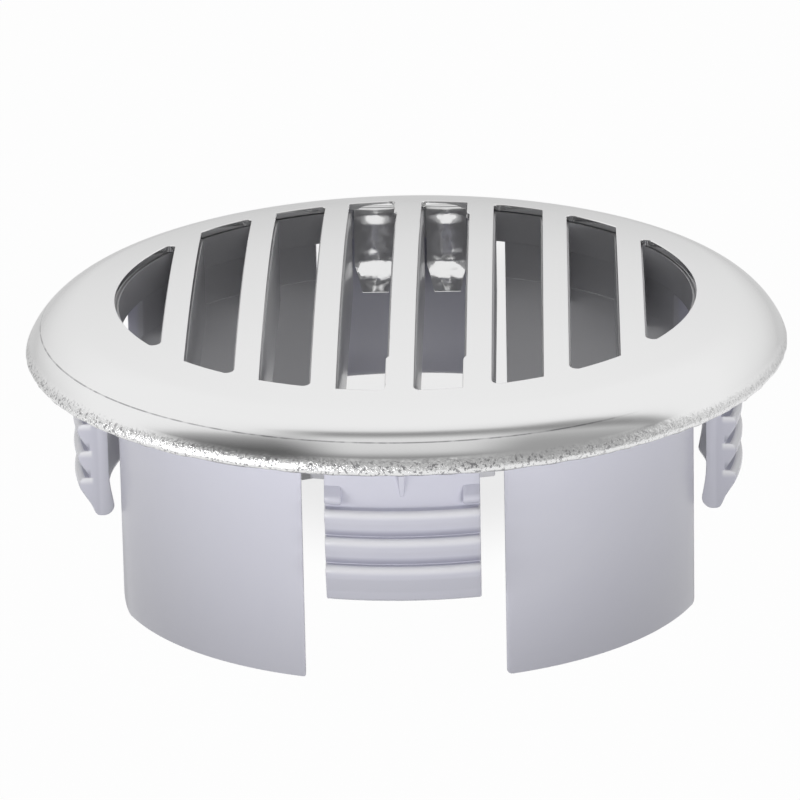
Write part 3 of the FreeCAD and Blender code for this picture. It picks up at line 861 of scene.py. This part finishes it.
across = split_place(tree, place)[0]
from_line = math_node(tree, "ABSOLUTE", math_node(tree, "SUBTRACT", radius, LINE * MM))
# A thin dark line along the pressed line, fading out towards the right.
line = ramp_between(tree, from_line, LINE_START * MM, LINE_FULL * MM)
line = math_node(tree, "MULTIPLY", line, ramp_between(tree, across, LINE_FADED * MM, LINE_DARKEST * MM))
broken = ramp_between(tree, speckled(tree, place, 900, 3, 0.6), 0.36, 0.6, 0.3, 0.8)
chips = ramp_between(tree, speckled(tree, place, 3800, 2, 0.6), 0.53, 0.63, 0.0, 0.85)
spread = ramp_between(tree, across, FEW_CHIPS * MM, MANY_CHIPS * MM, 0.35, 1.0)
chips = math_node(tree, "MULTIPLY", crimped, math_node(tree, "MULTIPLY", chips, spread))
# Painted shade on the underside of the rolled edge and hem.
hem = ramp_between(tree, height, HEM_SHADE_START * MM, HEM_SHADE_FULL * MM)
edge = math_node(tree, "MAXIMUM", chips, math_node(tree, "MULTIPLY", hem, broken))
dark_marks_and_shade_mask = math_node(
    tree, "MAXIMUM", math_node(tree, "MULTIPLY", line, broken), math_node(tree, "MULTIPLY", edge, outside)
)
tree.links.new(tinted(tree, dark_marks_and_shade_mask, BRIGHT, DARK_MARKS_AND_SHADE), shader.inputs["Base Color"])
print("Metal gloss and colour with", len(tree.nodes), "nodes")

# %% [markdown]
# ## The metal finish: creases and buckled tongues
# The crimped edge is covered with fine creases, and the tongues buckled when they were bent, most of all at
# the knee, so they mirror the light in uneven patches. Both are hundredths of a millimetre high, and a bump
# is enough for them.

# %% Polished metal: bump
BUCKLE_START, BUCKLE_FULL = 23.2, 22.7  # levels below the face
TONGUES_END, TONGUES_WITHIN = 25.0, 24.5  # distances from the axis
KNEE_START, KNEE_FULL = 19.6, 18.6
KNEE_BUCKLE = 2.6  # how much more the knee buckled
CREASE_HEIGHT = 0.11

creases = math_node(tree, "MULTIPLY", speckled(tree, place, 2200, 4, 0.7), crimped)
below_face = ramp_between(tree, height, BUCKLE_START * MM, BUCKLE_FULL * MM)
within = ramp_between(tree, radius, TONGUES_END * MM, TONGUES_WITHIN * MM)
knee = ramp_between(tree, height, KNEE_START * MM, KNEE_FULL * MM, 1.0, KNEE_BUCKLE)
buckled = math_node(tree, "MULTIPLY", math_node(tree, "MULTIPLY", below_face, within), knee)
uneven = math_node(tree, "MULTIPLY", speckled(tree, place, 640, 1), buckled)
bump = node(tree, "ShaderNodeBump", {"Strength": 1.0, "Distance": CREASE_HEIGHT * MM})
tree.links.new(math_node(tree, "ADD", creases, uneven), bump.inputs["Height"])
tree.links.new(bump.outputs["Normal"], shader.inputs["Normal"])
for piece in (face_plate, cover_tongues):
    piece.data.materials.append(metal)
print("Metal finish with", len(tree.nodes), "nodes")

# %% [markdown]
# ## The plastic finish
# The insert is glossy white plastic with a cool, slightly violet tint. Moulded plastic is never quite even:
# its colour drifts a little over a wall, and its gloss changes where the mould was worn. Both use the shared
# effect with small values. The inside of the walls is painted greyer than the outside, as shade.

# %% Moulded plastic: gloss and colour
COOL_WHITE = (0.76, 0.76, 0.84)
COOLER_WHITE = (0.73, 0.73, 0.82)
# colour of the shade painted on the inside of the walls
INSIDE_SHADE_GREY = (0.74, 0.74, 0.76)
OUTER_SIDE, INNER_SIDE = 23.6, 23.1  # the painted shade starts within the wall

plastic, tree, shader = new_material("moulded_plastic")
shader.inputs["IOR"].default_value = 1.5
place = node(tree, "ShaderNodeTexCoord").outputs["Object"]
radius, height = from_axis(tree, place)
tree.links.new(handled(tree, place, 90, 0.24, 0.27), shader.inputs["Roughness"])
colour = tinted(tree, handled(tree, place, 35, 0, 1), COOL_WHITE, COOLER_WHITE)
# Painted shade: the inside of the walls is greyer.
colour = tinted(tree, ramp_between(tree, radius, OUTER_SIDE * MM, INNER_SIDE * MM), colour, INSIDE_SHADE_GREY)
print("Plastic gloss and colour with", len(tree.nodes), "nodes")

# %% [markdown]
# ## The plastic finish: painted shade and highlights on the barbs
# On the clips shade is painted into the corners above the ledges, a highlight is painted on the rounded lips,
# and a little shade is painted over the whole clip, so that it is darker in tone than the walls. The barbs
# repeat at one pitch, so the fraction of the height by that pitch tells how far a point lies above the last
# ledge, and one pair of ramps shades all three barbs.

# %% Moulded plastic: painted shade and highlights on the barbs
CORNER_SHADE = (0.38, 0.38, 0.46)
# colour of the highlight painted on the lips
LIP_HIGHLIGHT = (0.97, 0.97, 1.0)
LAST_BARB = FIRST_BARB - (BARBS - 1) * BARB_PITCH
CLIP_START, CLIP_FULL = 25.2, 25.5  # distances from the axis where the painted shade on the clip starts and is full
CLIP_TOP, CLIP_DEEPER = 19.5, 17  # levels where the painted shade on the clip starts and is full
CLIP_SHADE = 0.2


def between_levels(top_start, top_full, bottom_start, bottom_full):
    """Mask of the plastic between two levels."""
    top = ramp_between(tree, height, top_start * MM, top_full * MM)
    return math_node(tree, "MULTIPLY", top, ramp_between(tree, height, bottom_start * MM, bottom_full * MM))


steps = math_node(tree, "MULTIPLY_ADD", height, 1 / (BARB_PITCH * MM), BARBS + 1 - FIRST_BARB / BARB_PITCH)
above = math_node(tree, "FRACT", steps)
# Painted shade in the corners above the ledges.
corner = ramp_between(tree, above, 0.45, 0.06, 0.0, 0.9)
corner = math_node(tree, "MULTIPLY", corner, ramp_between(tree, above, 0.015, 0.04))
ledges = between_levels(FIRST_BARB + 1.1, FIRST_BARB + 0.6, LAST_BARB - 0.2, LAST_BARB)
proud = ramp_between(tree, radius, (CLIP_ROOT - 0.08) * MM, (CLIP_ROOT + 0.05) * MM)
corner = math_node(tree, "MULTIPLY", math_node(tree, "MULTIPLY", ledges, proud), corner)
# Painted shade over the whole clip.
clip = ramp_between(tree, radius, CLIP_START * MM, CLIP_FULL * MM, 0.0, CLIP_SHADE)
clip = math_node(tree, "MULTIPLY", clip, ramp_between(tree, height, CLIP_TOP * MM, CLIP_DEEPER * MM))
colour = tinted(tree, math_node(tree, "MAXIMUM", corner, clip), colour, CORNER_SHADE)
barbs = between_levels(FIRST_BARB + 0.2, FIRST_BARB + 0.02, LAST_BARB - 0.9, LAST_BARB - 0.6)
barbs = math_node(tree, "MULTIPLY", barbs, ramp_between(tree, radius, CLIP_NECK * MM, CLIP_ROOT * MM))
# Painted highlight on the rounded lips.
lip = math_node(tree, "MULTIPLY", barbs, ramp_between(tree, above, 0.7, 0.95))
tree.links.new(tinted(tree, lip, colour, LIP_HIGHLIGHT), shader.inputs["Base Color"])
print("Plastic colour and barbs with", len(tree.nodes), "nodes")

# %% [markdown]
# ## The plastic finish: grain
# A steel mould is not a mirror, so its fine grain shows in the gloss. It is too fine to model, and a weak
# bump is enough.

# %% Moulded plastic: grain
GRAIN_HEIGHT = 0.01

bump = node(tree, "ShaderNodeBump", {"Strength": 0.15, "Distance": GRAIN_HEIGHT * MM})
tree.links.new(speckled(tree, place, 1500, 2), bump.inputs["Height"])
tree.links.new(bump.outputs["Normal"], shader.inputs["Normal"])
for piece in (insert_flange, insert_panels, insert_ribs, insert_clips):
    piece.data.materials.append(plastic)
print("Plastic finish with", len(tree.nodes), "nodes")

# %% [markdown]
# ## Studio: the floor
# The photograph has a plain white ground. The floor is a pale sheet that shows white to the camera. The lamps
# stand on the camera's side, so a soft shadow of the part is painted on the floor behind it, where the camera
# sees it only through the gaps. Mirrored in the metal, the floor is painted greyer behind the part too. To
# light that bounces off it, the floor has painted shade close to the part, a faint painted glow inside the
# wall and a brighter one all round, which models the panels as the photograph does. A larger paper sweep
# with real flags could do the same; ray by ray it stays simple.

# %% Lay the floor
FLOOR_REACH = 3
floor_mesh = bmesh.new()
bmesh.ops.create_grid(floor_mesh, x_segments=8, y_segments=8, size=FLOOR_REACH)
mesh = bpy.data.meshes.new("floor")
floor_mesh.to_mesh(mesh)
floor_mesh.free()
floor = bpy.data.objects.new("floor", mesh)
bpy.context.scene.collection.objects.link(floor)

print("Floor of", round(max(v.co.x for v in mesh.vertices) * 2, 2), "m")

# %% Shade the floor
PALE = (0.85, 0.85, 0.85)
CLOSE = (0.05, 0.036)  # half-widths of the ground near the part where shade and glow are painted, m
SHADOW = (0.024, 0.043)  # half-widths of the painted soft shadow, and how far behind the part it lies
SHADOW_AT = 0.047
# whiteness of the floor to the camera in the painted shadow and in the open
SHADOW_WHITE, OPEN_WHITE = 0.78, 0.98
MIRROR_FRONT, MIRROR_BACK = 0.03, 0.08  # where the floor turns greyer in reflections, as painted shade, and its two levels
FRONT_WHITE, BACK_GREY = 0.96, 0.58


def from_spot(tree, place, sizes, behind):
    """Distance from a spot on the floor, as a share of its half-widths."""
    made = node(tree, "ShaderNodeVectorMath", operation="MULTIPLY_ADD")
    made.inputs[1].default_value = (1 / sizes[0], 1 / sizes[1], 0)
    made.inputs[2].default_value = (0, -behind / sizes[1], 0)
    tree.links.new(place, made.inputs[0])
    return length_of(tree, made.outputs["Vector"])


pale, tree, shader = new_material("pale_floor")
shader.inputs["Roughness"].default_value = 0.9
shader.inputs["Specular IOR Level"].default_value = 0
path = node(tree, "ShaderNodeLightPath")
place = node(tree, "ShaderNodeTexCoord").outputs["Object"]

near = from_spot(tree, place, CLOSE, 0)
# Painted shade: to bounced light the floor is dark close to the part.
bounced = ramp_between(tree, near, 0.8, 1.3, 0.03, 0.85)
tree.links.new(tinted(tree, path.outputs["Is Diffuse Ray"], PALE, bounced), shader.inputs["Base Color"])
# Painted glow: to bounced light the floor glows inside the wall and all round.
inside = ramp_between(tree, near, 0.6, 0.4, 0.0, 0.24)
around = ramp_between(tree, near, 0.85, 1.25, 0.0, 0.5)
painted_glow = math_node(tree, "MULTIPLY", path.outputs["Is Diffuse Ray"], math_node(tree, "MAXIMUM", inside, around))

seen = math_node(tree, "MAXIMUM", path.outputs["Is Camera Ray"], path.outputs["Is Transmission Ray"])
# A soft shadow is painted on the floor behind the part, as the camera sees it.
white_with_painted_shadow = ramp_between(
    tree, from_spot(tree, place, SHADOW, SHADOW_AT), 0.7, 1.15, SHADOW_WHITE, OPEN_WHITE
)
seen = math_node(tree, "MULTIPLY", seen, white_with_painted_shadow)
behind = split_place(tree, place)[1]
# Painted shade seen only in reflections: the floor is greyer behind the part.
mirrored = ramp_between(tree, behind, MIRROR_FRONT, MIRROR_BACK, FRONT_WHITE, BACK_GREY)
mirrored = math_node(tree, "MULTIPLY", path.outputs["Is Glossy Ray"], mirrored)

white = node(tree, "ShaderNodeEmission", {"Color": (1, 1, 1, 1), "Strength": 1.0})
blend = node(tree, "ShaderNodeMixShader")
glow = math_node(tree, "MAXIMUM", math_node(tree, "MAXIMUM", seen, mirrored), painted_glow)
tree.links.new(glow, blend.inputs["Fac"])
tree.links.new(shader.outputs["BSDF"], blend.inputs[1])
tree.links.new(white.outputs["Emission"], blend.inputs[2])
tree.links.new(blend.outputs["Shader"], tree.nodes["Material Output"].inputs["Surface"])
mesh.materials.append(pale)
print("Floor finish with", len(tree.nodes), "nodes")

# %% [markdown]
# ## Studio: the surroundings
# Polished metal shows what stands around it: a bright sweep behind and above, and on the camera's side dark
# gaps between bright panels, which differ to the left, in the middle and to the right. They could be built as
# boards and lamps, but each of them is then seen from one place only. Here they are drawn in the world, as
# brightness by the angle over the part, and only reflections see them. Light for the rest comes from a
# plainer row of levels, strongest low behind the part, and the camera sees white.

# %% Levels around the part
# angle from straight behind, over the top, to the camera's side, and brightness there
BACKDROP = [(0, 0.69), (6, 0.76), (13, 0.84), (20, 0.885), (31, 0.945), (44, 0.99), (80, 1.0)]
MIDDLE = BACKDROP + [
    (90, 0.92), (93.5, 0.3), (98, 0.28), (101, 0.55), (105, 0.9), (111, 0.8), (122, 0.78), (128, 0.7),
    (133, 0.42), (138, 0.22), (147, 0.22), (150, 1.0), (157, 1.0), (160, 0.8), (180, 0.8),
]
LEFT = BACKDROP + [
    (92, 0.97), (99, 0.85), (104, 0.5), (111, 0.32), (118, 0.22), (127, 0.13), (137, 0.13), (142, 1.0),
    (180, 1.0),
]
RIGHT = BACKDROP + [
    (86, 0.92), (90, 0.45), (96, 0.28), (100, 0.4), (104.5, 0.6), (110, 0.48), (118, 0.4), (135, 0.38),
    (145, 0.3), (172, 0.45), (180, 0.85),
]
LIGHTING = [(0, 1.0), (25, 0.8), (42, 0.22), (80, 0.08), (120, 0.06), (180, 0.08)]
SIDE_START, SIDE_FULL = 0.2, 0.5  # how far to the side a direction points before the side levels hold
print("Levels:", len(LEFT), "left,", len(MIDDLE), "middle,", len(RIGHT), "right,", len(LIGHTING), "for light")

# %% Build the surroundings
world = bpy.data.worlds.new("studio")
world.use_nodes = True
tree = world.node_tree
bpy.context.scene.world = world
background = tree.nodes["Background"]
across, behind, upwards = split_place(tree, node(tree, "ShaderNodeTexCoord").outputs["Generated"])
over = math_node(tree, "ARCTAN2", upwards, behind)
turned = math_node(tree, "MULTIPLY_ADD", over, 0.5 / math.pi, 0.5)


def strips(levels):
    """Brightness over the part as a ramp."""
    made = node(tree, "ShaderNodeValToRGB")
    ramp = made.color_ramp
    ramp.elements.remove(ramp.elements[1])
    ramp.elements[0].color = (1, 1, 1, 1)
    for angle, brightness in levels:
        element = ramp.elements.new((angle + 180) / 360)
        element.color = (brightness, brightness, brightness, 1)
    tree.links.new(turned, made.inputs["Fac"])
    return made.outputs["Color"]


path = node(tree, "ShaderNodeLightPath")
mirrored = strips(MIDDLE)
for side, levels in ((-1, LEFT), (1, RIGHT)):
    to_side = ramp_between(tree, across, SIDE_START * side, SIDE_FULL * side)
    mirrored = tinted(tree, to_side, mirrored, strips(levels))
light = tinted(tree, path.outputs["Is Glossy Ray"], strips(LIGHTING), mirrored)
straight = math_node(tree, "MAXIMUM", path.outputs["Is Camera Ray"], path.outputs["Is Transmission Ray"])
tree.links.new(tinted(tree, straight, light, (1, 1, 1)), background.inputs["Color"])
print("Surroundings with", len(tree.nodes), "nodes")

# %% [markdown]
# ## Studio: the lamps
# Two wide, low lamps stand to the left and right of the camera and give the panels their gentle fall of
# light. One overhead lamp would leave the walls flat. Only the left one is mirrored, as a soft sheen on the
# plastic.

# %% Place the lamps
LAMP_AIM = (0, 0, 0.015)


def soft_lamp(name, place, width, height, power, mirrored):
    """Large lamp that points at the part, and that polished surfaces mirror or not."""
    data = bpy.data.lights.new(name, "AREA")
    data.shape = "RECTANGLE"
    data.size = width
    data.size_y = height
    data.energy = power
    lamp = bpy.data.objects.new(name, data)
    lamp.location = place
    lamp.rotation_euler = (Vector(LAMP_AIM) - Vector(place)).to_track_quat("-Z", "Y").to_euler()
    lamp.visible_glossy = mirrored
    bpy.context.scene.collection.objects.link(lamp)
    print(name, "at", place, "with", power, "W")


soft_lamp("left_lamp", (-0.76, -0.58, 0.1), 0.7, 0.2, 3.1, True)
soft_lamp("right_lamp", (0.4, -0.89, 0.1), 0.5, 0.2, 3.8, False)

# %% [markdown]
# The Standard view shows colours as they are written.

# %% Finish
bpy.context.scene.view_settings.view_transform = "Standard"
